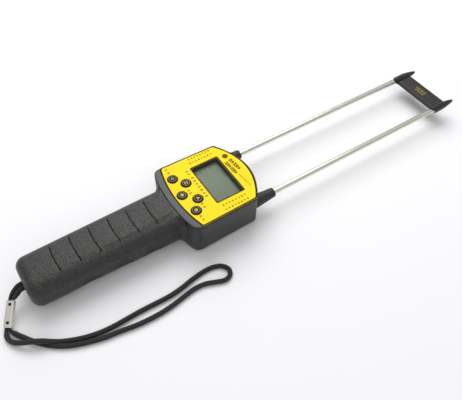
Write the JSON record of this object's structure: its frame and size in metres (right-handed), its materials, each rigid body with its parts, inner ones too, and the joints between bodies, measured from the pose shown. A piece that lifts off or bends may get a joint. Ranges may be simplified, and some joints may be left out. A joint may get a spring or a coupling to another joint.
{
  "type": "grain moisture meter",
  "caption": "Hand-held grain moisture meter: moulded grip and head with display and push buttons, long parallel steel probe rods joined by a tip bridge, and a wrist cord.",
  "frame": {"origin": "bottom centre of the rigid meter lying on its back, without the wrist cord and its crimp", "axes": "+Y from the grip's end to the probe tips, +X across the face, +Z out of the face"},
  "size_m": [0.1143, 0.4928, 0.037],
  "materials": {
    "charcoal_plastic": "fine moulded texture, charcoal grey",
    "black_plastic": "smooth moulded black",
    "stainless_steel": "bright drawn bar",
    "nickel_plate": "bright nickel plate",
    "brass": "machined",
    "cell_sleeve": "shrunk sleeve",
    "printed_yellow_film": "printed film, satin",
    "bezel_plastic": "dark blue-grey",
    "clear_acrylic": "clear",
    "lcd_glass": "grey-green reflective display",
    "circuit_board": "green solder mask",
    "button_rubber": "moulded, printed symbol",
    "boot_rubber": "moulded black",
    "black_nylon": "round braid",
    "red_pvc": "lead insulation",
    "black_pvc": "lead insulation"
  },
  "bodies": {
    "meter": {"front_shell": "charcoal_plastic", "rear_shell": "charcoal_plastic", "probe_bridge": "black_plastic", "mcu_chip": "black_plastic", "strap_anchor": "black_plastic", "switch_left_rear": "black_plastic", "switch_left_front": "black_plastic", "switch_middle": "black_plastic", "switch_right_front": "black_plastic", "switch_right_rear": "black_plastic", "probe_rod_left": "stainless_steel", "probe_rod_right": "stainless_steel", "screw_grip_left": "stainless_steel", "screw_grip_right": "stainless_steel", "screw_neck_left": "stainless_steel", "screw_neck_right": "stainless_steel", "screw_front_left": "stainless_steel", "screw_front_right": "stainless_steel", "strap_crimp": "nickel_plate", "battery_bridge_contact": "nickel_plate", "battery_positive_contact": "nickel_plate", "battery_negative_contact": "nickel_plate", "rod_terminal_left": "nickel_plate", "rod_terminal_right": "nickel_plate", "rod_nut_left": "brass", "rod_nut_right": "brass", "battery_cell_1": "cell_sleeve", "battery_cell_2": "cell_sleeve", "battery_cell_3": "cell_sleeve", "battery_cell_4": "cell_sleeve", "face_label": "printed_yellow_film", "lcd_bezel": "bezel_plastic", "lcd_lens": "clear_acrylic", "lcd_panel": "lcd_glass", "main_board": "circuit_board", "probe_boot_left": "boot_rubber", "probe_boot_right": "boot_rubber", "wrist_cord": "black_nylon", "battery_lead_red": "red_pvc", "battery_lead_black": "black_pvc", "rod_lead_left": "black_pvc", "rod_lead_right": "black_pvc"},
    "button_left_rear": {"button_left_rear": "button_rubber"},
    "button_left_front": {"button_left_front": "button_rubber"},
    "button_middle": {"button_middle": "button_rubber"},
    "button_right_front": {"button_right_front": "button_rubber"},
    "button_right_rear": {"button_right_rear": "button_rubber"},
    "battery_door": {"battery_door": "charcoal_plastic"}
  },
  "joints": [
    {"name": "button_left_rear_press", "type": "slide", "parent": "meter", "child": "button_left_rear", "axis": [0, 0, -1], "range_m": [0, 0.0008], "stiffness_N_per_m": 1500},
    {"name": "button_left_front_press", "type": "slide", "parent": "meter", "child": "button_left_front", "axis": [0, 0, -1], "range_m": [0, 0.0008], "stiffness_N_per_m": 1500},
    {"name": "button_middle_press", "type": "slide", "parent": "meter", "child": "button_middle", "axis": [0, 0, -1], "range_m": [0, 0.0008], "stiffness_N_per_m": 1500},
    {"name": "button_right_front_press", "type": "slide", "parent": "meter", "child": "button_right_front", "axis": [0, 0, -1], "range_m": [0, 0.0008], "stiffness_N_per_m": 1500},
    {"name": "button_right_rear_press", "type": "slide", "parent": "meter", "child": "button_right_rear", "axis": [0, 0, -1], "range_m": [0, 0.0008], "stiffness_N_per_m": 1500},
    {"name": "battery_door_hinge", "type": "hinge", "parent": "meter", "child": "battery_door", "pos_m": [0, -0.1232, 0.0022], "axis": [1, 0, 0], "range_deg": [0, 75]}
  ]
}
